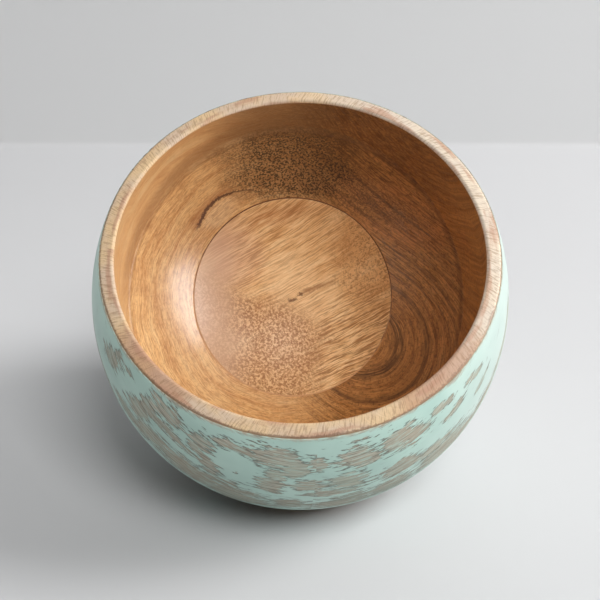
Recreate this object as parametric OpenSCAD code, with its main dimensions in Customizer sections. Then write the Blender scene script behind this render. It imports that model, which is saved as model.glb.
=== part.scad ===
// Round wooden bowl with a slanted mouth. The body is turned to a ball, hollowed along a
// turning axis that leans far forward, and closed by a round disc glued into the turning bore.
// It stands on a flat cut across its belly. X is to the right, the mouth faces -Y, Z is up,
// and the origin is the middle of the standing face. All lengths are in millimetres.

/* [Body] */
// Largest outside diameter of the round body
bowl_d = 200; // [170:1:260]
// Wall thickness at the belly, level with the body's centre
belly_wall = 10; // [8:0.5:16]
// Diameter of the flat face that the bowl stands on
foot_d = 70; // [40:1:84]

/* [Mouth] */
// Lean of the mouth from level, towards the front
mouth_tilt = 33.5; // [20:0.5:45]
// Diameter of the mouth along the middle of its lip
mouth_d = 175; // [160:0.5:180]
// Distance from the body's centre to the plane of the mouth
mouth_rise = 49.3; // [35:0.1:60]
// Wall thickness at the lip
lip_wall = 6.6; // [5:0.1:9]
// Rise of the lip's flat top above the plane of the mouth, in its middle
lip_rise = 1.15; // [0.8:0.05:1.6]
// Fall of the lip's flat top towards the outside
lip_slope = 9; // [0:1:14]
// Rounding of the lip's two edges
lip_round = 1.5; // [1:0.1:2]

/* [Hollow] */
// Lean of the turning axis from upright, towards the front
axis_tilt = 64.5; // [58:0.5:72]
// Turn of the turning axis towards the right
axis_turn = 4; // [-10:0.5:10]
// Distance behind the body's centre where the dish of the hollow begins
shoulder_depth = 26; // [18:0.5:34]
// Width of the small shoulder between the upper wall and the dish
shoulder_w = 0.8; // [0.4:0.1:2]
// Thickness of the bowl's floor, along the turning axis
floor_wall = 21.5; // [16:0.5:26]

/* [Bottom disc] */
// Diameter of the disc that closes the turning bore
disc_d = 108; // [80:0.5:116]
// Width of the glue line round the disc
glue_w = 0.6; // [0.3:0.1:1.5]

/* [Paint] */
// Thickness of the paint on the outside
paint_t = 0.3; // [0.2:0.05:0.6]
// Clearance between the paint film and the wood
paint_gap = 0.05; // [0.02:0.01:0.1]
// Height above the standing face where the paint is worn to an end
paint_start = 6; // [3:0.5:20]

/* [Hidden] */
$fn = 120;

body_r = bowl_d / 2;
inside_r = body_r - belly_wall;
centre_h = sqrt(pow(body_r, 2) - pow(foot_d / 2, 2));
reach = 2 * bowl_d;

// Lip, seen in a half section through the mouth's axis. Its rounded edges stand a little past the
// wall's two faces, which cut them
lip_past = lip_round / 10;
lip_top_w = (lip_wall + 2 * lip_past - 2 * lip_round) / cos(lip_slope);
lip_out_x = (mouth_d + lip_wall) / 2;
lip_in_x = (mouth_d - lip_wall) / 2;

// Radius of the arc that leaves the belly upright and comes to the mouth's plane draw_in nearer
// to the mouth's axis, or further from it where draw_in is negative
function side_arc(draw_in) = (pow(draw_in, 2) + pow(mouth_rise, 2)) / (2 * abs(draw_in));

// Dish of the hollow: a ball on the turning axis through the shoulder and the floor's middle
shoulder_r = sqrt(pow(inside_r, 2) - pow(shoulder_depth, 2)) - shoulder_w;
floor_depth = body_r - floor_wall;
dish_back = (pow(floor_depth, 2) - pow(shoulder_depth, 2) - pow(shoulder_r, 2))
    / (2 * (floor_depth - shoulder_depth));
dish_r = floor_depth - dish_back;

// Bottom disc and the turning bore that it closes
disc_r = disc_d / 2;
bore_r = disc_r + glue_w;

module on_mouth_axis() {
    translate([0, 0, centre_h]) rotate([mouth_tilt, 0, 0]) children();
}

module on_turning_axis() {
    translate([0, 0, centre_h]) rotate([0, 0, axis_turn]) rotate([axis_tilt, 0, 0]) children();
}

// Half section of a round form: a ball below the belly, and above it a wall that is drawn in to
// the mouth in one arc. A body narrower than its mouth flares out instead
module half_section(belly_r, mouth_r, grow = 0) {
    draw_in = belly_r - mouth_r;
    intersection() {
        circle(belly_r + grow);
        translate([0, -reach]) square([reach, reach]);
    }
    if (draw_in > 0) {
        arc_x = belly_r - side_arc(draw_in);
        intersection() {
            union() {
                translate([arc_x, 0]) circle(side_arc(draw_in) + grow);
                if (arc_x > 0) square([arc_x, mouth_rise]);
            }
            square([reach, reach]);
        }
    } else if (draw_in < 0) {
        arc_x = belly_r + side_arc(draw_in);
        difference() {
            square([arc_x, reach]);
            translate([arc_x, 0]) circle(side_arc(draw_in) - grow);
        }
    } else {
        square([belly_r + grow, reach]);
    }
}

// Everything below the plane of the mouth
module below_mouth() {
    translate([0, -reach]) square([reach, reach + mouth_rise]);
}

// Top of the lip: a flat that falls to the outside between two rounded edges
module lip_top() {
    translate([mouth_d / 2 + lip_round * sin(lip_slope), mouth_rise + lip_rise]) rotate(-lip_slope) {
        translate([-lip_top_w / 2, -lip_round]) circle(lip_round);
        translate([lip_top_w / 2, -lip_round]) circle(lip_round);
        translate([-lip_top_w / 2, -2 * lip_round]) square([lip_top_w, 2 * lip_round]);
    }
}

// The turned body before hollowing, with its lip
module turned_form() {
    on_mouth_axis() rotate_extrude() intersection() {
        half_section(body_r, lip_out_x);
        union() {
            below_mouth();
            lip_top();
        }
    }
}

// Round wall under the lip, then a shallow dish about the turning axis
module hollow() {
    difference() {
        on_mouth_axis() rotate_extrude() half_section(inside_r, lip_in_x);
        on_turning_axis() difference() {
            translate([0, 0, -shoulder_depth - reach]) cylinder(r = reach, h = reach);
            translate([0, 0, -dish_back]) sphere(dish_r);
        }
    }
}

// Ring of the bowl's floor about the turning axis, from the dish to the outside of the ball
module floor_ring(from_r, to_r) {
    on_turning_axis() rotate_extrude() difference() {
        intersection() {
            translate([from_r, -reach]) square([to_r - from_r, reach - shoulder_depth]);
            circle(body_r);
        }
        translate([0, -dish_back]) circle(dish_r);
    }
}

module under_foot() {
    translate([-reach, -reach, -2 * reach]) cube(2 * reach);
}

module bowl_wall() {
    color("peru") difference() {
        turned_form();
        hollow();
        on_turning_axis() translate([0, 0, -reach]) cylinder(r = bore_r, h = reach - shoulder_depth);
        under_foot();
    }
}

module bottom_disc() {
    color("burlywood") floor_ring(0, disc_r);
}

module glue_line() {
    color("saddlebrown") floor_ring(disc_r, bore_r);
}

module paint_coat() {
    color([0.63, 0.79, 0.75]) difference() {
        on_mouth_axis() rotate_extrude() intersection() {
            difference() {
                half_section(body_r, lip_out_x, paint_gap + paint_t);
                half_section(body_r, lip_out_x, paint_gap);
            }
            below_mouth();
        }
        translate([0, 0, paint_start]) under_foot();
    }
}

bowl_wall();
bottom_disc();
glue_line();
paint_coat();
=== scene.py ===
import bmesh
import bpy
import numpy as np
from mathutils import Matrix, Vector


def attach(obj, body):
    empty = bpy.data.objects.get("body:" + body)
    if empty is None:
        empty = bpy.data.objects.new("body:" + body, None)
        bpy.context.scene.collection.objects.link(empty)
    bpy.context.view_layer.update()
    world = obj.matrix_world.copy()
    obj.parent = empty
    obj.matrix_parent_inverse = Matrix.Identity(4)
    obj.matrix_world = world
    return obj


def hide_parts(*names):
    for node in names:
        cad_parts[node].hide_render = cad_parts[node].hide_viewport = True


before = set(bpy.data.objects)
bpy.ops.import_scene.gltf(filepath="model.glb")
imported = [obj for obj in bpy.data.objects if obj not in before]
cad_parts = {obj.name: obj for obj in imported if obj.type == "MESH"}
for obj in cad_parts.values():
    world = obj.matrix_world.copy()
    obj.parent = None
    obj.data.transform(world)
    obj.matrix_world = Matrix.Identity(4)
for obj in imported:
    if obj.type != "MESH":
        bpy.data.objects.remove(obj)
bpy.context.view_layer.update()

# Bowl wall: one block of pale hardwood, turned to a ball outside and hollowed in two settings, a
# drawn-in upper wall under a flat lip and a shallow dish about an axis that leans far forward.
# It is oiled inside, left raw along the lip and under the foot, and carries every other piece.

body_r, inside_r, foot_r = 0.1000, 0.0900, 0.0350
centre = np.array([0.0, 0.0, np.sqrt(body_r ** 2 - foot_r ** 2)])
mouth_tilt, mouth_rise, mouth_r, lip_wall = 33.5, 0.0493, 0.0875, 0.0066
mouth_in, mouth_out = mouth_r - lip_wall / 2, mouth_r + lip_wall / 2
axis_tilt, axis_turn = 64.5, 4.0
shoulder_depth, shoulder_w, floor_wall = 0.0260, 0.0008, 0.0215
disc_r, glue_w = 0.0540, 0.0006
bore_r = disc_r + glue_w

# The dish is part of a ball on the turning axis, through the shoulder and the middle of the floor.
shoulder_r = np.sqrt(inside_r ** 2 - shoulder_depth ** 2) - shoulder_w
floor_depth = body_r - floor_wall
dish_depth = floor_depth - shoulder_depth
dish_forward = (shoulder_depth ** 2 + shoulder_r ** 2 - floor_depth ** 2) / (2.0 * dish_depth)
dish_r = floor_depth + dish_forward


def leaning(tilt, turn):
    """Axis that leans forward by tilt and turns by turn degrees, with its own right and up."""
    lean, side = np.radians(tilt), np.radians(turn)
    axis = np.array([np.sin(lean) * np.sin(side), -np.sin(lean) * np.cos(side), np.cos(lean)])
    right = np.array([np.cos(side), np.sin(side), 0.0])
    return axis, right, np.cross(axis, right)


mouth_axes = leaning(mouth_tilt, 0.0)
turn_axes = leaning(axis_tilt, axis_turn)
mouth_axis = mouth_axes[0]
turn_axis, turn_right, turn_up = turn_axes


def circle(axes, radius, along, columns):
    """Circle about an axis: the centre, plus along on the axis, plus radius times the unit circle."""
    axis, right, up = axes
    angle = np.linspace(0.0, 2.0 * np.pi, columns, endpoint=False)[:, None]
    radius, along = np.reshape(radius, (-1, 1)), np.reshape(along, (-1, 1))
    return centre + along * axis + radius * (np.cos(angle) * right + np.sin(angle) * up)


def rings(axes, radii, alongs, columns):
    """Rows of circles about one axis, each with its radius and its place along the axis."""
    return np.stack([circle(axes, radius, along, columns) for radius, along in zip(radii, alongs)])


def towards(points):
    """Unit directions from the body's centre to the points."""
    ray = points - centre
    return ray / np.linalg.norm(ray, axis=-1, keepdims=True)


def sweep(start, end, steps):
    """Directions on the great circles from each start to its end: sines of the shares, over the sine."""
    share = np.asarray(steps)[:, None, None]
    angle = np.arccos(np.clip(np.sum(start * end, axis=-1), -1.0, 1.0))[None, :, None]
    return (np.sin((1.0 - share) * angle) * start + np.sin(share * angle) * end) / np.sin(angle)


def wall_distance(direction, belly, mouth):
    """Distance from the centre to a wall: a ball below the belly, and above it the arc that leaves the
    belly upright and meets the mouth's plane at the mouth's radius, solved along each direction."""
    height = direction @ mouth_axis
    arc = ((belly - mouth) ** 2 + mouth_rise ** 2) / (2.0 * (belly - mouth))
    offset = belly - arc
    side = np.sqrt(np.clip(1.0 - height ** 2, 0.0, 1.0))
    above = side * offset + np.sqrt(np.maximum(arc ** 2 - (offset * height) ** 2, 0.0))
    return np.where(height > 0.0, above, belly)


def dish(radius):
    """Depth of the dish behind the centre at a radius from the turning axis: a ball set forward."""
    return np.sqrt(dish_r ** 2 - radius ** 2) - dish_forward


def ball_back(radius):
    """Depth of the outside behind the centre at a radius from the turning axis: the body's ball."""
    return np.sqrt(body_r ** 2 - radius ** 2)


def skin(name, rows, wraps):
    """Closed mesh over rows of rings. Rows that wrap make a tube, others end in a point at each end.
    Faces are turned outwards by the sign of the enclosed volume."""
    count, columns = rows.shape[:2]
    index = np.arange(count * columns).reshape(count, columns)
    low = index if wraps else index[:-1]
    high = np.roll(index, -1, axis=0) if wraps else index[1:]
    faces = np.stack([low, np.roll(low, -1, 1), np.roll(high, -1, 1), high], axis=-1).reshape(-1, 4)
    points = rows.reshape(-1, 3)
    first, second, third, fourth = np.moveaxis(points[faces] - centre, 1, 0)
    volume = np.sum(first * np.cross(second, third) + first * np.cross(third, fourth))
    if volume < 0.0:
        faces = faces[:, ::-1]
    mesh = bpy.data.meshes.new(name)
    mesh.from_pydata(points.tolist(), [], faces.tolist())
    mesh.polygons.foreach_set("use_smooth", np.ones(len(faces), dtype=bool))
    piece = bpy.data.objects.new(name, mesh)
    bpy.context.scene.collection.objects.link(piece)
    return piece


columns = 320
dish_radii = np.concatenate([[bore_r, bore_r + 0.0002],
                             np.linspace(bore_r + 0.001, shoulder_r - 0.001, 38),
                             [shoulder_r - 0.0003, shoulder_r]])
dish_rows = rings(turn_axes, dish_radii, -dish(dish_radii), columns)


def wall_radius(depth):
    """Radius from the turning axis at which the upper wall lies at a depth, found by halving."""
    low, high = np.full(columns, shoulder_r - 0.002), np.full(columns, body_r - 0.003)
    for halving in range(40):
        middle = 0.5 * (low + high)
        spot = circle(turn_axes, middle, -depth, columns)
        wall = wall_distance(towards(spot), inside_r, mouth_in)
        out = np.linalg.norm(spot - centre, axis=-1) > wall
        low, high = np.where(out, low, middle), np.where(out, middle, high)
    return low


# The shoulder is eased into a small slope, ledge_slope times as deep as the shoulder is wide.
ledge_slope = 1.2
ledge_end = shoulder_depth - ledge_slope * (wall_radius(shoulder_depth) - shoulder_r)
ledge_wall = wall_radius(ledge_end)
ledge_steps = np.array([0.33, 0.67, 1.0])[:, None]
ledge_radii = shoulder_r + ledge_steps * (ledge_wall - shoulder_r)
ledge_depths = shoulder_depth + ledge_steps * (ledge_end - shoulder_depth)
ledge_rows = rings(turn_axes, ledge_radii, -ledge_depths, columns)

lip_inside = circle(mouth_axes, mouth_in, mouth_rise, columns)
steps = np.concatenate([[0.004, 0.015], np.linspace(0.035, 1.0, 42)])
rays = sweep(towards(ledge_rows[-1]), towards(lip_inside), steps)
upper_rows = centre + rays * wall_distance(rays, inside_r, mouth_in)[..., None]

lip_rise, lip_slope, lip_round = 0.00115, 9.0, 0.0015
lip_fall = np.tan(np.radians(lip_slope))
lip_half = lip_wall / 2 + lip_round / 10 - lip_round
lip_level = mouth_rise + lip_rise - lip_round * np.cos(np.radians(lip_slope))
inner_edge = np.array([mouth_r - lip_half, lip_level + lip_half * lip_fall])
outer_edge = np.array([mouth_r + lip_half, lip_level - lip_half * lip_fall])


def lip_arc(middle, start, end, count):
    """Points of a rounded lip edge, radius and height: its middle plus the rounding's cosine and sine."""
    turn = np.radians(np.linspace(start, end, count))[:, None]
    return middle + lip_round * np.concatenate([np.cos(turn), np.sin(turn)], axis=1)


inner_round = lip_arc(inner_edge, 160.0, 90.0 - lip_slope, 10)
outer_round = lip_arc(outer_edge, 90.0 - lip_slope, 28.0, 8)
flat_steps = np.linspace(0.0, 1.0, 9)[1:-1, None]
lip_flat = inner_round[-1] * (1.0 - flat_steps) + outer_round[0] * flat_steps
lip_section = np.concatenate([inner_round, lip_flat, outer_round])
lip_rows = rings(mouth_axes, lip_section[:, 0], lip_section[:, 1], columns)

# The foot is a level cut across the ball, and foot_ease rounds its edge with a soft minimum of the two.
# Rays that are nearly level never meet the cut, so they are counted as steep as least_drop.
least_drop, foot_ease = 0.05, 0.0006
lip_outside = circle(mouth_axes, mouth_out, mouth_rise, columns)
bore_outside = circle(turn_axes, bore_r, -ball_back(bore_r), columns)
rays = sweep(towards(lip_outside), towards(bore_outside), np.linspace(0.0, 1.0, 116))
ball = wall_distance(rays, body_r, mouth_out)
foot = centre[2] / np.maximum(-rays[..., 2], least_drop)
blend = np.clip(0.5 + 0.5 * (foot - ball) / foot_ease, 0.0, 1.0)
outside = foot + (ball - foot) * blend - foot_ease * blend * (1.0 - blend)
outer_rows = centre + rays * outside[..., None]

bore_steps = np.array([0.02, 0.3, 0.7, 0.98])
bore_depths = ball_back(bore_r) + bore_steps * (dish(bore_r) - ball_back(bore_r))
bore_rows = rings(turn_axes, np.full(len(bore_steps), bore_r), -bore_depths, columns)

wall_rows = np.concatenate([dish_rows, ledge_rows, upper_rows, lip_rows, outer_rows, bore_rows])
bowl_wall = skin("bowl_wall_wood", wall_rows, True)


class Tone:
    """One value or colour of a finish. It wraps a node's output, and arithmetic on it adds Math nodes."""

    def __init__(self, tree, socket=None):
        self.tree, self.socket = tree, socket

    def node(self, kind, settings=None, inputs=None, out=0):
        """Adds a node, makes its settings, then sets or links its inputs."""
        made = self.tree.nodes.new(kind)
        for name, value in (settings or {}).items():
            if name == "stops":
                ramp = made.color_ramp
                while len(ramp.elements) < len(value):
                    ramp.elements.new(0.5)
                for element, (position, shade) in zip(ramp.elements, value):
                    element.position, element.color = position, shade
            else:
                setattr(made, name, value)
        for name, value in (inputs or {}).items():
            if isinstance(value, Tone):
                self.tree.links.new(value.socket, made.inputs[name])
            else:
                made.inputs[name].default_value = value
        return Tone(self.tree, made.outputs[out])

    def math(self, operation, first, second=0.0):
        """Adds one Math node."""
        return self.node("ShaderNodeMath", {"operation": operation}, {0: first, 1: second})

    def __add__(self, other):
        return self.math("ADD", self, other)

    def __radd__(self, other):
        return self.math("ADD", other, self)

    def __sub__(self, other):
        return self.math("SUBTRACT", self, other)

    def __rsub__(self, other):
        return self.math("SUBTRACT", other, self)

    def __mul__(self, other):
        return self.math("MULTIPLY", self, other)

    def __rmul__(self, other):
        return self.math("MULTIPLY", other, self)

    def __truediv__(self, other):
        return self.math("DIVIDE", self, other)

    def __rtruediv__(self, other):
        return self.math("DIVIDE", other, self)

    def __pow__(self, other):
        return self.math("POWER", self, other)

    def __abs__(self):
        return self.math("ABSOLUTE", self)


def finish(name):
    """A new material with an empty Principled shader, and a tone to start its expressions from."""
    material = bpy.data.materials.new(name)
    material.use_nodes = True
    shader = material.node_tree.nodes["Principled BSDF"]
    return material, shader, Tone(material.node_tree)


def feed(shader, socket, tone):
    """Links a tone to one of the shader's sockets."""
    tone.tree.links.new(tone.socket, shader.inputs[socket])


def carve(shader, height, strength, relief):
    """Gives the shader a bump that follows the height, with the relief in metres."""
    settings = {"Strength": strength, "Distance": relief, "Height": height}
    feed(shader, "Normal", height.node("ShaderNodeBump", None, settings))


def colour(red, green, blue):
    """A screen colour of 0 to 255 as linear light."""
    screen = np.array([red, green, blue]) / 255.0
    light = np.where(screen > 0.04045, ((screen + 0.055) / 1.055) ** 2.4, screen / 12.92)
    return (*[float(part) for part in light], 1.0)


def shades(tone, *stops):
    """Colour along a row of stops, each a position and a screen colour."""
    row = [(position, colour(*screen)) for position, screen in stops]
    return tone.node("ShaderNodeValToRGB", {"stops": row}, {0: tone})


def blend_to(share, under, over):
    """Colour that goes from under to over with the share."""
    return share.node("ShaderNodeMix", {"data_type": "RGBA"}, {0: share, 6: under, 7: over}, 2)


# The meshes are in metres, and the finishes count in millimetres.
mm = 1000.0


def along(place, direction):
    """Millimetres from the body's centre along a direction: the dot product less the centre's own."""
    scaled = [float(part) * mm for part in direction]
    dot = place.node("ShaderNodeVectorMath", {"operation": "DOT_PRODUCT"}, {0: place, 1: scaled}, "Value")
    return dot - float(centre @ direction) * mm


def inside_place(start):
    """Object coordinates, and millimetres right and up from the turning axis."""
    place = start.node("ShaderNodeTexCoord", None, None, "Object")
    return place, along(place, turn_right), along(place, turn_up)


def distance(right, up):
    """Root of the sum of the squares."""
    return (right * right + up * up) ** 0.5


def run_and_side(way, right, up):
    """Places along and across a direction: the dot products with it and with its left normal."""
    return way[0] * right + way[1] * up, way[0] * up - way[1] * right


def oval(right, up, middle, half, lean=0.0):
    """Squared distance from an oval's middle, counted in its half sizes, so 1 on the oval itself. The
    oval rises by lean for each millimetre to the right."""
    off = right - middle[0]
    rise = up - middle[1] - lean * off if lean else up - middle[1]
    return (off / half[0]) ** 2.0 + (rise / half[1]) ** 2.0


def ramp_up(tone, low, high):
    """Smooth step from 0 at low to 1 at high."""
    limits = {"Value": tone, "From Min": low, "From Max": high}
    return tone.node("ShaderNodeMapRange", {"interpolation_type": "SMOOTHSTEP"}, limits)


def ramp_down(tone, low, high):
    """Smooth step from 1 at low to 0 at high."""
    return 1.0 - ramp_up(tone, low, high)


def cloud(x, y, z=0.0, detail=2.0, roughness=0.5):
    """Noise, 0 to 1, on coordinates that are already counted in spots."""
    where = x.node("ShaderNodeCombineXYZ", None, {0: x, 1: y, 2: z})
    settings = {"Vector": where, "Scale": 1.0, "Detail": detail, "Roughness": roughness}
    return x.node("ShaderNodeTexNoise", None, settings)


def spots(place, scale, detail=2.0, roughness=0.5, distortion=0.0):
    """Noise about 0 on the piece's own coordinates, with scale spots to the metre."""
    settings = {"Vector": place, "Scale": scale, "Detail": detail, "Roughness": roughness,
                "Distortion": distortion}
    return place.node("ShaderNodeTexNoise", None, settings) - 0.5


oiled_wood, shader, start = finish("oiled_bowl_wood")
place, right, up = inside_place(start)
depth = along(place, -turn_axis)
leftward = 0.0 - right
radius = distance(right, up)
swell = spots(place, 24.0)
patchy = spots(place, 60.0, 4.0)
grit = spots(place, 1000.0, 1.0)
fleck = spots(place, 640.0, 2.0, 0.7)

# Growth rings on the left follow the wall round. Those on the right lie slanted, and turn back
# round an eye low on that side, so they are the distance from a half line that ends in the eye.
eye, slant = (37.0, -24.0), (-0.755, 0.656)
eye_right, eye_up = right - eye[0], up - eye[1]
eye_run, eye_side = run_and_side(slant, eye_right, eye_up)
past_eye = start.math("MINIMUM", eye_run, 0.0)
left_ring = radius + 9.0 * swell
left_run = start.math("ARCTAN2", up, leftward) * radius
right_ring = distance(eye_side, past_eye) + 4.0 * swell + 0.6 * patchy
on_right = ramp_up(right, -12.0, 28.0)
near_eye = ramp_down(distance(eye_right, eye_up), 24.0, 52.0)
off_eye = on_right * (1.0 - 0.8 * near_eye)


def on_rings(left_side, right_side):
    """Value that goes from the left side's grain to the right side's."""
    return left_side + on_right * (right_side - left_side)


# Broad ribbons of colour, then lines and threads on the right, strands on the left, and hooks
# round the eye.
ribbon = on_rings(cloud(left_ring * 0.32, left_run * 0.010, 3.0, 3.0, 0.55),
                  cloud(right_ring * 0.42, eye_run * 0.006, 9.0, 3.0, 0.6))
line_course = cloud(right_ring * 0.22, eye_run * 0.002, 2.0, 2.0)
line_breaks = cloud(right_ring * 0.3, eye_run * 0.03, 5.0) + 0.15 * near_eye
line = on_right * ramp_down(abs(line_course - 0.5), 0.0, 0.014) * ramp_up(line_breaks, 0.42, 0.6)
strand_course = cloud(left_ring * 0.55, left_run * 0.008, 11.0, 3.0, 0.6)
strand = (1.0 - on_right) * ramp_up(strand_course, 0.50, 0.62)
thread_course = cloud(right_ring * 0.9, eye_run * 0.012, 5.0, 2.5, 0.6)
thread = ramp_up(thread_course, 0.51, 0.60) * off_eye
gold = ramp_down(thread_course, 0.38, 0.48) * off_eye
inner_hook = ramp_down(abs(right_ring - 20.0), 0.4, 3.6)
outer_hook = ramp_down(abs(right_ring - 33.0), 0.2, 2.4)
hook_breaks = ramp_up(cloud(right_ring * 1.6, eye_up * 0.09, 8.0, 2.0, 0.6), 0.36, 0.56)
hook_bend = ramp_up(26.0 - eye_run, 0.0, 14.0) * near_eye
hook = start.math("MAXIMUM", inner_hook, outer_hook) * hook_bend * hook_breaks

# Pores are long and soft, and the finer strokes give a dark nick or a light gleam.
pore_course = on_rings(cloud(left_ring * 1.3, left_run * 0.08, 1.0, 2.0),
                       cloud(right_ring * 1.3, eye_run * 0.10, 7.0, 2.0))
pore = ramp_up(pore_course, 0.48, 0.66)
stroke = on_rings(cloud(left_ring * 2.4, left_run * 0.20, 1.0, 1.0),
                  cloud(right_ring * 2.0, eye_run * 0.24, 7.0, 1.0))
nick = ramp_up(stroke, 0.47, 0.62)
gleam = ramp_down(stroke, 0.36, 0.48)

# A wide burl high at the back, a dark crescent beside the disc, and painted shade along the shoulder.
# The band is the upper wall, in front of the shoulder.
band = ramp_down(depth + 3.0 * patchy, 23.0, 27.0)
burl = ramp_down(oval(right, up, (-3.0, 74.0), (40.0, 26.0)) + 1.2 * patchy, 0.1, 1.25)
burl_tail = ramp_down(oval(right, up, (24.0, 60.0), (46.0, 13.0), -0.5) + 1.2 * patchy, 0.1, 1.3)
burl_share = start.math("MINIMUM", burl + 0.55 * burl_tail, 1.0)
speck = ramp_up(grit, -0.08, 0.10) * burl_share * (1.0 - 0.8 * band)
arc_middle, arc_r = (-24.0, 31.0), 27.7
from_middle = distance(right - arc_middle[0], up - arc_middle[1])
from_arc = from_middle - arc_r - 2.5 * patchy - 2.0 * grit
arc_reach = ramp_up(leftward, 11.0, 20.0) * ramp_up(up, 36.0, 42.0)
crescent_half = 0.2 + 0.6 * ramp_up(leftward, 22.0, 42.0)
crescent = ramp_up(crescent_half - abs(from_arc), -0.45, 0.35) * arc_reach
outside_arc = ramp_up(6.0 - from_arc, 0.0, 6.0) * ramp_up(from_arc, -0.5, 0.5)
crescent_shade = outside_arc * arc_reach * ramp_up(leftward, 26.0, 40.0)
inside_arc = ramp_up(0.0 - from_arc, 0.0, 3.0) * ramp_up(radius, 54.0, 57.0)
pale_wedge = inside_arc * arc_reach * ramp_up(leftward, 24.0, 36.0)
shoulder_line = shoulder_depth * mm + 0.2
shoulder = ramp_down(abs(depth - shoulder_line), 0.4, 2.2) * ramp_up(radius, 82.5, 85.0)

# Pale sapwood on the left and darker wood on the right, partly heartwood and partly painted shade,
# with warmer and darker parts.
# Darker at the top and back, partly the wood's tone and partly painted shade, and darkest just under the
# back lip, which is painted shade.
back_tone_and_shade = ramp_up(up + 0.35 * right + 20.0 * patchy, 66.0, 96.0)
back_lip_shade = ramp_down(oval(right, up, (22.0, 94.0), (26.0, 8.0)) + 2.0 * patchy, 0.2, 1.1)
front_low = ramp_up(10.0 * patchy - up, 34.0, 74.0)
amber = ramp_down(oval(right, up, (50.0, 44.0), (32.0, 18.0), -0.4) + 2.0 * patchy, 0.2, 1.3)
# A darker strip along the shoulder on the upper left is painted shade.
shoulder_shade_strip = ramp_up(depth, 10.0, 20.0) * band * ramp_up(up, -5.0, 30.0) * (1.0 - on_right)
wood = shades(ribbon + 0.5 * patchy + 0.10 * grit, (0.28, (194, 138, 80)), (0.45, (218, 168, 108)),
              (0.58, (226, 180, 120)), (0.75, (234, 196, 140)))
wood = blend_to(strand * 0.36, wood, colour(178, 114, 54))
wood = blend_to(pale_wedge * 0.45, wood, colour(236, 206, 162))
# The darker colour on the right is partly heartwood and partly painted shade.
heartwood_and_shade = blend_to(ramp_up(ribbon + 0.3 * patchy, 0.40, 0.60), colour(126, 80, 38), colour(190, 136, 74))
wood = blend_to(on_right * 0.74, wood, heartwood_and_shade)
warm = blend_to(on_right, colour(208, 145, 76), colour(190, 124, 46))
wood = blend_to(front_low * 0.5, wood, warm)
wood = blend_to(near_eye * on_right * 0.45, wood, colour(170, 106, 50))
wood = blend_to(back_tone_and_shade * 0.6, wood, colour(128, 75, 22))
wood = blend_to(back_lip_shade * 0.55, wood, colour(72, 42, 20))
wood = blend_to(amber * 0.85, wood, colour(210, 146, 88))
band_oil = blend_to(on_right, colour(172, 130, 88), colour(144, 84, 26))
wood = blend_to(band * 0.36, wood, band_oil)
wood = blend_to(shoulder_shade_strip * 0.65, wood, colour(150, 104, 60))
wood = blend_to(band * back_tone_and_shade * 0.35, wood, colour(90, 54, 22))

# The marks go over that, light ones first. They are weaker on the smoother upper wall.
plain = band * (1.0 - 0.3 * on_right)
light_fleck = ramp_down(fleck, -0.15, -0.02)
dark_fleck = ramp_up(fleck, 0.03, 0.16)
# The marks are darker on the right too, partly painted shade.
light_mark = blend_to(on_right, colour(244, 206, 148), colour(206, 148, 82))
dark_mark = blend_to(on_right, colour(128, 80, 40), colour(74, 46, 24))
wood = blend_to(gleam * (0.22 + 0.12 * on_right - 0.16 * plain), wood, light_mark)
wood = blend_to(light_fleck * (0.16 + 0.22 * on_right - 0.1 * plain), wood, light_mark)
wood = blend_to(gold * (0.4 - 0.3 * band), wood, light_mark)
wood = blend_to(pore * (0.24 + 0.1 * on_right - 0.14 * plain), wood, dark_mark)
wood = blend_to(dark_fleck * (0.24 + 0.26 * on_right - 0.16 * plain), wood, dark_mark)
wood = blend_to(nick * (0.3 + 0.1 * on_right - 0.22 * plain), wood, dark_mark)
wood = blend_to(thread * (0.42 - 0.3 * band), wood, colour(66, 40, 20))
wood = blend_to(line * (0.5 - 0.3 * near_eye) * (1.0 - 0.8 * band), wood, colour(66, 38, 18))
wood = blend_to(hook * 0.8, wood, colour(60, 32, 16))
wood = blend_to(burl_share * 0.55, wood, colour(116, 78, 38))
wood = blend_to(speck * 0.9, wood, colour(44, 28, 12))
wood = blend_to(crescent_shade * 0.55, wood, colour(146, 86, 48))
wood = blend_to(crescent * 0.9, wood, colour(76, 42, 30))
# The darkening along the shoulder's crease is painted shade.
wood = blend_to(shoulder * (0.32 + 0.1 * on_right), wood, colour(108, 70, 36))

# The lip is raw, paler wood with short saw ticks across it and a darker, rubbed outer edge.
height, rim_right, rim_up = [along(place, direction) for direction in mouth_axes]
rim_radius = distance(rim_right, rim_up)
rim_run = start.math("ARCTAN2", rim_up, rim_right) * (mouth_r * mm)
lip_start, lip_end = mouth_rise * mm, mouth_out * mm
on_lip = ramp_up(height + patchy * 0.8, lip_start - 0.3, lip_start + 0.5)
tick_course = cloud(rim_run * 1.5 + rim_radius * 0.5, rim_radius * 0.20, height * 0.2, 2.0, 0.6)
tick = ramp_up(tick_course, 0.48, 0.64)
stain = ramp_up(cloud(rim_run * 0.045, rim_radius * 0.25, 4.0, 4.0), 0.5, 0.66)
edge_width = 0.4 * ramp_up(rim_up, -60.0, 10.0)
lip_edge = ramp_up(rim_radius + patchy * 2.2 + grit * 2.0 - edge_width, lip_end - 1.2, lip_end - 0.4)
worn = ramp_down(oval(abs(rim_right), rim_up, (62.0, -60.0), (26.0, 26.0)) + 2.5 * patchy, 0.2, 1.2)
# The lip is paler towards the right, partly paler raw wood and partly painted light.
paler = ramp_up(rim_right + 0.3 * rim_up, 10.0, 80.0)
raw = blend_to(ramp_up(patchy, -0.12, 0.12), colour(211, 181, 140), colour(200, 176, 151))
raw = blend_to(paler * 0.7, raw, colour(212, 202, 187))
raw = blend_to(worn * 0.6, raw, colour(168, 118, 88))
raw = blend_to(stain * 0.7, raw, colour(176, 132, 106))
raw = blend_to(tick * 0.48, raw, colour(138, 102, 68))
raw = blend_to(lip_edge * 0.6, raw, colour(112, 82, 60))
wood = blend_to(on_lip, wood, raw)

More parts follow.
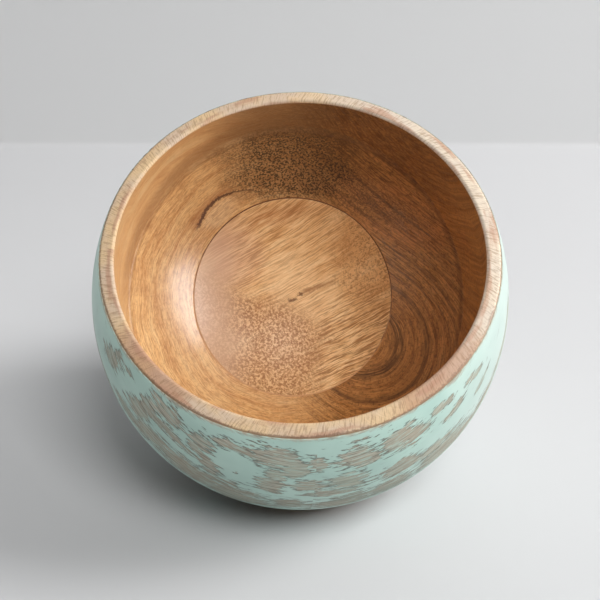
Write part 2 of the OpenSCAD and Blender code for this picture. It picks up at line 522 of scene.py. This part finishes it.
# Outside, under the paint and under the foot, the wood is raw and greyed.
from_centre = (right * right + up * up + depth * depth) ** 0.5
drawn_in = 0.11 * start.math("MAXIMUM", height, 0.0)
wall_middle = (body_r + inside_r) / 2 * mm
under = ramp_up(from_centre - drawn_in, wall_middle - 0.5, wall_middle + 0.5) * (1.0 - on_lip)
turned = cloud(depth * 1.4, radius * 0.05, 6.0, 3.0, 0.6)
bare = blend_to(ramp_up(turned, 0.35, 0.7), colour(150, 128, 104), colour(184, 158, 126))
wood = blend_to(under, wood, bare)

oiled = (1.0 - on_lip) * (1.0 - under) * (1.0 - 0.8 * shoulder)
gloss = (0.9 - 0.2 * pore - 0.6 * on_right) * (1.0 - 0.7 * ramp_up(up, 36.0, 76.0))
relief = 0.3 * ribbon - 0.5 * line - 0.5 * pore - 0.4 * nick - 0.5 * speck - 0.5 * tick * on_lip
feed(shader, "Base Color", wood)
feed(shader, "Roughness", 0.46 + 0.12 * pore + 0.06 * patchy + 0.16 * on_lip + 0.14 * under)
feed(shader, "Coat Weight", gloss * oiled)
shader.inputs["Coat Roughness"].default_value = 0.26
shader.inputs["Coat IOR"].default_value = 2.0
carve(shader, relief, 0.22, 0.0004)
bowl_wall.data.materials.append(oiled_wood)
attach(bowl_wall, "root")
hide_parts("bowl_wall")

# Bottom disc: a round of the same wood with its figure turned another way, glued into the turning
# bore and then turned with the dish, so that its face runs on in the wall's without a step.

disc_columns = 240
face_radii = np.concatenate([np.linspace(0.0, disc_r - 0.0004, 60), [disc_r - 0.00015, disc_r]])
face_rows = rings(turn_axes, face_radii, -dish(face_radii), disc_columns)
side_depths = np.linspace(dish(disc_r), ball_back(disc_r), 8)[1:-1]
side_rows = rings(turn_axes, np.full(len(side_depths), disc_r), -side_depths, disc_columns)
back_radii = np.concatenate([[disc_r, disc_r - 0.0002], np.linspace(disc_r - 0.001, 0.0, 40)])
back_rows = rings(turn_axes, back_radii, -ball_back(back_radii), disc_columns)
bottom_disc = skin("bottom_disc_wood", np.concatenate([face_rows, side_rows, back_rows]), False)


def close_ends(piece):
    """Merges the collapsed first and last rings of a piece into one point each."""
    work = bmesh.new()
    work.from_mesh(piece.data)
    bmesh.ops.remove_doubles(work, verts=work.verts, dist=1e-7)
    bmesh.ops.dissolve_degenerate(work, edges=work.edges, dist=1e-8)
    work.to_mesh(piece.data)
    work.free()


close_ends(bottom_disc)

disc_wood, shader, start = finish("oiled_disc_wood")
place, right, up = inside_place(start)
patchy = spots(place, 55.0, 4.0)
grit = spots(place, 760.0, 2.0, 0.7)
worm = spots(place, 640.0, 2.0, 0.5, 1.2)
grain = (0.891, 0.454)
run, side = run_and_side(grain, right, up)
side = side - 0.0022 * right * up + 3.0 * patchy
figure = cloud(run * 0.035, side * 0.16, 1.0, 4.0, 0.6)
lines = cloud(run * 0.07, side * 1.2, 4.0, 3.0, 0.6)
hairs = cloud(run * 0.24, side * 2.6, 6.0, 1.0)

# Where the figure stands on end it shows as stipple low on the left and as small curls on the right.
# Between them it lies in lines, which are strongest low on the right, and it is smooth on the left.
below_grain = ramp_up(patchy * 30.0 - up - 0.45 * right, -4.0, 18.0)
left_of_lines = ramp_up(patchy * 30.0 - right + 0.3 * up, -36.0, -12.0)
stippled = below_grain * left_of_lines
curled = ramp_up(right - 0.1 * up + 30.0 * patchy, 14.0, 34.0) * ramp_up(up + 20.0 * patchy, -14.0, 10.0)
smooth = ramp_up(patchy * 20.0 - right, 24.0, 40.0)
flamed = ramp_up(right - up + 30.0 * patchy, 12.0, 44.0)
in_lines = (1.0 - stippled) * (1.0 - 0.75 * curled)
# The paler middle of the disc is a painted highlight.
painted_light_middle = ramp_up(1.0 - oval(right, up, (5.0, 4.0), (32.0, 22.0), -0.5) + 1.5 * patchy, 0.0, 1.0)
dark_line = ramp_up(lines, 0.50, 0.58) + 0.5 * ramp_up(hairs, 0.46, 0.64)
pale_line = ramp_down(lines, 0.34, 0.50)
pore = stippled * ramp_up(grit, -0.10, 0.14) + in_lines * dark_line * (0.56 + 0.4 * flamed)
pore = pore + curled * 0.8 * ramp_up(worm, -0.08, 0.18)
pore = start.math("MINIMUM", pore * (1.0 - 0.75 * smooth) * (1.0 - 0.25 * painted_light_middle), 1.0)
pale = stippled * ramp_down(grit, -0.16, 0.02) + in_lines * pale_line * (1.0 + 0.4 * flamed)
pale = pale * (1.0 - 0.5 * smooth)

# Two small knots in the middle with a dark wedge that runs out of them, and redder wood at the top
# and on the upper left.
first_knot = ramp_down(oval(right, up, (0.5, -2.2), (2.6, 1.2)) + 5.0 * grit, 0.2, 1.3)
second_knot = ramp_down(oval(right, up, (5.2, 0.8), (2.0, 1.1)) + 5.0 * grit, 0.2, 1.3)
knot = start.math("MAXIMUM", first_knot, second_knot)
wedge_start, wedge_way = (6.0, 1.0), (0.94, 0.34)
wedge_run, wedge_side = run_and_side(wedge_way, right - wedge_start[0], up - wedge_start[1])
wedge_width = ramp_down(abs(wedge_side + 6.0 * patchy + 3.0 * grit), 0.3, 2.4)
wedge = ramp_up(wedge_run, -1.0, 3.0) * ramp_down(wedge_run, 9.0, 24.0) * wedge_width
red_band = ramp_up(1.0 - oval(right, up + 8.0 * patchy, (-8.0, 44.72), (28.0, 7.0), 0.16), 0.0, 0.9)
rosy = ramp_up(1.0 - oval(right, up, (-30.0, 24.0), (20.0, 22.0)), 0.0, 1.0)

wood = shades(figure + 0.35 * patchy, (0.28, (204, 153, 98)), (0.5, (226, 180, 125)),
              (0.72, (240, 203, 151)))
wood = blend_to(painted_light_middle * 0.35, wood, colour(248, 216, 170))
wood = blend_to(smooth * 0.55, wood, colour(196, 158, 128))
wood = blend_to(rosy * 0.4, wood, colour(204, 160, 136))
wood = blend_to(red_band * 0.35, wood, colour(176, 112, 66))
wood = blend_to(stippled * 0.5, wood, colour(180, 130, 84))
wood = blend_to(pale * (0.5 - 0.2 * stippled), wood, colour(252, 224, 176))
wood = blend_to(pore * 0.7, wood, colour(126, 78, 36))
wood = blend_to(wedge * 0.6, wood, colour(140, 90, 48))
wood = blend_to(knot * 0.8, wood, colour(104, 64, 34))
well_oiled = ramp_up(0.0 - right, 18.0, 38.0)
feed(shader, "Base Color", wood)
feed(shader, "Roughness", 0.44 + 0.10 * pore + 0.05 * patchy)
feed(shader, "Coat Weight", (0.12 + 0.88 * well_oiled) * (1.0 - 0.3 * pore))
shader.inputs["Specular IOR Level"].default_value = 0.25
shader.inputs["Coat Roughness"].default_value = 0.38
shader.inputs["Coat IOR"].default_value = 2.0
carve(shader, 0.3 * figure - 0.6 * pore, 0.2, 0.0004)
bottom_disc.data.materials.append(disc_wood)
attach(bottom_disc, "root")
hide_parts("bottom_disc")

# Glue line: the thin dark ring of cured wood glue that holds the disc in its bore. It has shrunk a
# little below the dish, so it shows as a fine groove.

glue_radii = disc_r + glue_w * np.array([0.0, 1.0, 2.0, 3.0]) / 3.0
edge_sink, middle_sink = 0.00005, 0.00016
sink = np.array([edge_sink, middle_sink, middle_sink, edge_sink])
glue_top = rings(turn_axes, glue_radii, -dish(glue_radii) - sink, disc_columns)
glue_back = rings(turn_axes, glue_radii[::-1], -ball_back(glue_radii[::-1]), disc_columns)
glue_line = skin("glue_line_ring", np.concatenate([glue_top, glue_back]), True)

glue, shader, start = finish("dark_glue")
place, right, up = inside_place(start)
mottle = spots(place, 160.0, 3.0)
glue_dark = ramp_up(up + 0.3 * right + 90.0 * mottle, -22.0, 20.0)
feed(shader, "Base Color", blend_to(glue_dark, colour(196, 148, 102), colour(108, 66, 36)))
feed(shader, "Roughness", 0.6 + 0.2 * mottle)
carve(shader, mottle, 0.2, 0.0003)
glue_line.data.materials.append(glue)
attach(glue_line, "root")
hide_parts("glue_line")

# Paint coat: matte mint paint brushed on the outside from the lip to just above the foot, then rubbed
# through in ragged patches while the bowl turned, so the bare wood shows in bands along its rings.

film_gap, film_t, film_rows = 0.00005, 0.0003, 130
paint_low = 0.0060
upright = leaning(0.0, 0.0)


def film(thick):
    """Rings of one face of the paint: great circles from the mouth's plane to the level where the paint
    ends, at the outside wall's distance plus the film's own."""
    top = circle(mouth_axes, mouth_out + thick, mouth_rise, columns)
    drop = centre[2] - paint_low
    bottom = circle(upright, np.sqrt((body_r + thick) ** 2 - drop ** 2), -drop, columns)
    rays = sweep(towards(top), towards(bottom), np.linspace(0.0, 1.0, film_rows))
    return centre + rays * (wall_distance(rays, body_r, mouth_out) + thick)[..., None]


paint_rows = np.concatenate([film(film_gap + film_t), film(film_gap)[::-1]])
paint_coat = skin("paint_coat_film", paint_rows, True)

# Rubbed patches: degrees about the turning axis, millimetres behind the centre, half length in degrees,
# half width in millimetres, and how far the patch drifts back along its length. Those at the front were
# placed one by one, and those at the back and sides fall by chance.
rubbed = np.array([
    (-105, -79.5, 11, 5, 0), (-97, -75, 5, 5, 0), (-122, -77.5, 9, 2.6, 0), (-131, -68.7, 4.5, 6, 0),
    (-124, -58.5, 5, 5, 4), (-146, -69, 7, 4.5, 0), (-150, -62, 4, 6, 0), (-141, -60, 8, 3, 0),
    (-151, -50.5, 4.5, 8, -3), (-167.5, -49, 4, 8, -4), (-168, -57, 2, 3, 0), (-162, -61, 2.5, 1.5, 0),
    (-104, -63.7, 4.5, 7.5, 0), (-92, -64, 5.5, 4, 0), (-79, -64.5, 6, 5, 0), (-89, -78.3, 3.2, 3.8, 0),
    (-74, -78, 8, 6.5, 0), (-55, -76.5, 8.5, 5.5, 1), (-37.5, -74.5, 5, 2.2, 1.5), (-36.7, -66, 7, 1.8, 0),
    (-23, -66, 4, 2.2, 3), (-83, -56.5, 8.5, 2.6, 0), (-61, -58.7, 8, 4.8, 1), (-50, -54, 7, 3.5, 1),
    (-24, -56, 5, 1.4, 0), (-128, -41, 12, 10, 0), (-111, -39, 11, 12, 0), (-97, -43, 6, 8, 0),
    (-80, -42, 12, 9, 0), (-67, -42, 8, 10, 0), (-47, -41, 13, 9, 0), (-142, -43, 7, 7, -3),
    (-150, -33, 8, 6, 0), (-30, -38, 10, 4, 0), (-12, -38, 14, 2.5, 0), (-116, -64, 1.2, 1.2, 0),
    (-116, -53, 3, 1.8, 0)], dtype=float)
chance = np.random.default_rng(11)
hidden_count = 110
hidden_limits = [(-180, 180), (-16, 96), (4, 15), (2, 9), (-3, 3)]
hidden = np.stack([chance.uniform(low, high, hidden_count) for low, high in hidden_limits], axis=-1)
film_points = paint_rows.reshape(-1, 3) - centre
film_angle = np.degrees(np.arctan2(film_points @ turn_up, film_points @ turn_right))
film_depth = -mm * film_points @ turn_axis
unrubbed = -2.0
rub = np.full(len(film_points), unrubbed)
for angle, behind, half_angle, half_width, drift in np.concatenate([rubbed, hidden]):
    off = ((film_angle - angle + 180.0) % 360.0 - 180.0) / half_angle
    reach = np.hypot(off, (film_depth - behind - drift * off) / half_width)
    rub = np.maximum(rub, 1.0 - reach)
rub_values = paint_coat.data.attributes.new("rub", "FLOAT", "POINT")
rub_values.data.foreach_set("value", rub.astype(np.float32))


def above_table(place):
    """Millimetres above the table."""
    return along(place, np.array([0.0, 0.0, 1.0])) + float(centre[2]) * mm


paint, shader, start = finish("rubbed_mint_paint")
place, right, up = inside_place(start)
radius = distance(right, up)
depth = along(place, -turn_axis)
angle = start.math("ARCTAN2", right, up)
height = along(place, mouth_axis)
level = above_table(place)
patchy = spots(place, 70.0, 5.0, 0.6)
tint = spots(place, 45.0) + 0.5
brushed = cloud(angle * 6.0, depth * 0.6, radius * 0.015, 3.0, 0.55) - 0.5
fine = cloud(angle * 20.0, depth * 1.9, radius * 0.02, 2.0) - 0.5
old_grain = cloud(angle * 3.5, depth * 1.3, 7.0, 4.0, 0.65)

# Paint is gone in the patches, along the lip and near the foot. Torn edges and scratches are darker,
# and a little paint is left over in the rubbed grain.
rub_mark = start.node("ShaderNodeAttribute", {"attribute_name": "rub"}, None, "Fac")
rubbed_edge = rub_mark + 0.03 + 2.6 * brushed + 1.1 * fine + 1.4 * patchy
paint_end = paint_low * mm
near_lip = ramp_up(height + 5.0 * patchy + 4.0 * fine, lip_start - 1.9, lip_start + 0.5)
near_foot = ramp_down(level + 12.0 * patchy + 10.0 * brushed, paint_end + 2.0, paint_end + 5.0)
near_ends = start.math("MAXIMUM", near_lip, near_foot)
bare_share = start.math("MAXIMUM", ramp_up(rubbed_edge, 0.0, 0.12), near_ends)
edge_zone = ramp_up(rubbed_edge, -0.2, 0.0) * ramp_down(rubbed_edge, 0.06, 0.36)
torn = edge_zone * ramp_up(fine, -0.10, 0.08)
scratch_course = cloud(angle * 6.0, depth * 2.0, 2.0, 2.0)
scratch = ramp_up(scratch_course, 0.62, 0.70) * ramp_up(patchy, -0.04, 0.08)
left_over = ramp_up(cloud(angle * 9.0, depth, 5.0, 3.0, 0.6), 0.50, 0.62)

# The paint is paler on the right, partly chalkier paint and partly painted light, and the bare wood is
# greyed and darker towards the foot, which is painted shade.
chalky_and_lit = ramp_up(right, 40.0, 96.0)
foot_shade = ramp_down(level, 20.0, 60.0)
mint = shades(tint, (0.3, (154, 184, 174)), (0.7, (170, 198, 187)))
mint = blend_to(chalky_and_lit * 0.5, mint, colour(192, 197, 193))
greyed = shades(old_grain, (0.32, (96, 93, 82)), (0.47, (148, 145, 130)), (0.66, (184, 180, 163)))
greyed = blend_to(ramp_up(tint, 0.5, 0.7) * 0.45, greyed, colour(154, 140, 120))
greyed = blend_to(ramp_down(tint, 0.32, 0.48) * 0.5, greyed, colour(152, 164, 150))
# Darker bare wood towards the foot is painted shade.
greyed = blend_to(foot_shade * 0.45, greyed, colour(88, 86, 74))
surface = blend_to(bare_share * (1.0 - 0.5 * left_over), mint, greyed)
surface = blend_to(torn * 0.8, surface, colour(78, 80, 72))
surface = blend_to(scratch * 0.6, surface, colour(98, 100, 90))
feed(shader, "Base Color", surface)
feed(shader, "Roughness", 0.36 + 0.28 * bare_share + 0.1 * patchy)
worn_relief = 0.3 * old_grain * bare_share - 0.6 * bare_share
carve(shader, 0.12 * fine + worn_relief - 0.3 * scratch, 0.3, 0.0004)
paint_coat.data.materials.append(paint)
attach(paint_coat, "root")
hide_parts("paint_coat")

# Table and backdrop: a plain pale table that meets an upright pale sheet behind the bowl in a tight
# bend. The sheet shows from its front only, so that it hides nothing from the other sides.

sheet_back, bend_r = 0.478, 0.005
bend = np.linspace(0.0, np.pi / 2, 9)
bend_rows = np.stack([sheet_back - bend_r + bend_r * np.sin(bend), bend_r - bend_r * np.cos(bend)], axis=-1)
table_rows = [(depth, 0.0) for depth in (-3.0, -0.5, 0.1, 0.4)]
sheet_rows = [(sheet_back, rise) for rise in (0.2, 0.8, 2.0)]
profile = np.concatenate([table_rows, bend_rows, sheet_rows])
across = np.array([-3.0, -1.0, -0.4, 0.0, 0.4, 1.0, 3.0])
points = np.zeros((len(profile), len(across), 3))
points[..., 0] = across
points[..., 1:] = profile[:, None]
index = np.arange(len(profile) * len(across)).reshape(len(profile), len(across))
quads = np.stack([index[:-1, :-1], index[:-1, 1:], index[1:, 1:], index[1:, :-1]], axis=-1).reshape(-1, 4)
mesh = bpy.data.meshes.new("table_and_backdrop")
mesh.from_pydata(points.reshape(-1, 3).tolist(), [], quads.tolist())
mesh.polygons.foreach_set("use_smooth", np.ones(len(quads), dtype=bool))
table = bpy.data.objects.new("table_and_backdrop", mesh)
bpy.context.scene.collection.objects.link(table)

pale_cover, shader, start = finish("pale_table")
place = start.node("ShaderNodeTexCoord", None, None, "Object")
on_sheet = ramp_up(above_table(place), 0.5, 5.0)
feed(shader, "Base Color", blend_to(on_sheet, colour(207, 207, 208), colour(222, 222, 222)))
shader.inputs["Roughness"].default_value = 0.9
shader.inputs["Specular IOR Level"].default_value = 0.2
from_behind = start.node("ShaderNodeNewGeometry", None, None, "Backfacing")
clear = start.node("ShaderNodeBsdfTransparent")
covered = Tone(start.tree, shader.outputs[0])
seen = start.node("ShaderNodeMixShader", None, {0: from_behind, 1: covered, 2: clear})
start.tree.links.new(seen.socket, start.tree.nodes["Material Output"].inputs["Surface"])
table.data.materials.append(pale_cover)

# Light: a tall soft window on the right, a broad lamp high in front, and a fill from the left for the
# bowl alone. Two low lamps graze the paint, and a small one close by on the right, which the bowl's own
# wall doesn't stop, gives the oiled wood its sheen. The room adds a little even light.

aim = Vector(centre)


def lamp(name, bearing, rise, width, height, power, away=3.0):
    """White lamp that is turned towards the bowl, at a bearing in degrees from the right towards the
    front, a rise in degrees above the table and a distance in metres from the bowl's centre."""
    light = bpy.data.lights.new(name, "AREA")
    light.shape, light.size, light.size_y, light.energy = "RECTANGLE", width, height, power
    stand = bpy.data.objects.new(name, light)
    turn, lift = np.radians(bearing), np.radians(rise)
    ray = Vector((np.cos(turn) * np.cos(lift), -np.sin(turn) * np.cos(lift), np.sin(lift)))
    stand.location = aim + ray * away
    stand.rotation_mode = "QUATERNION"
    stand.rotation_quaternion = ray.to_track_quat("Z", "Y")
    stand.visible_camera = False
    bpy.context.scene.collection.objects.link(stand)
    return stand


def group(name, *pieces):
    """Collection of the pieces that a lamp lights, or that stop its light."""
    made = bpy.data.collections.new(name)
    for piece in pieces:
        made.objects.link(piece)
    return made


bowl_only = group("bowl_only", bowl_wall, bottom_disc, glue_line, paint_coat)
wood_only = group("wood_only", bowl_wall, bottom_disc, glue_line)
paint_only = group("paint_only", paint_coat)
table_only = group("table_only", table)

lamp("window", bearing=3.0, rise=34.0, width=1.0, height=1.9, power=76.0)
lamp("front", bearing=66.0, rise=50.0, width=1.2, height=1.2, power=52.0)
left_fill = lamp("left_fill", bearing=195.0, rise=36.0, width=1.5, height=1.5, power=34.0)
left_fill.light_linking.receiver_collection = bowl_only
glancing = lamp("glancing", bearing=39.0, rise=21.0, width=0.8, height=0.8, power=34.0)
glancing.light_linking.receiver_collection = paint_only
left_low = lamp("left_low", bearing=150.0, rise=14.0, width=0.8, height=0.8, power=12.0)
left_low.light_linking.receiver_collection = paint_only
sheen = lamp("sheen", bearing=7.0, rise=3.2, width=0.10, height=0.21, power=0.40, away=0.29)
sheen.data.cycles.use_multiple_importance_sampling = False
sheen.light_linking.receiver_collection = wood_only
sheen.light_linking.blocker_collection = table_only

room = bpy.data.worlds.new("room")
room.use_nodes = True
room_light = room.node_tree.nodes["Background"].inputs
room_light["Color"].default_value = (0.95, 0.97, 1.0, 1.0)
room_light["Strength"].default_value = 0.05
bpy.context.scene.world = room
bpy.context.scene.view_settings.view_transform = "Standard"

# Camera: a longish lens straight in front of the bowl and above the table, aimed at the body's centre
# but for a small shift, and as near as lets the bowl fill two thirds of the picture's width.

camera_rise, camera_away = np.radians(28.0), 0.5415
shift_right, shift_up = -0.00015, 0.00113
lens = bpy.data.cameras.new("camera")
lens.lens, lens.sensor_width = 66.0, 36.0
camera = bpy.data.objects.new("camera", lens)
towards_camera = Vector((0.0, -np.cos(camera_rise), np.sin(camera_rise)))
screen_right = Vector((1.0, 0.0, 0.0))
screen_up = Vector((0.0, np.sin(camera_rise), np.cos(camera_rise)))
camera.location = aim + screen_up * shift_up + screen_right * shift_right + towards_camera * camera_away
camera.rotation_mode = "QUATERNION"
camera.rotation_quaternion = towards_camera.to_track_quat("Z", "Y")
bpy.context.scene.collection.objects.link(camera)
bpy.context.scene.camera = camera
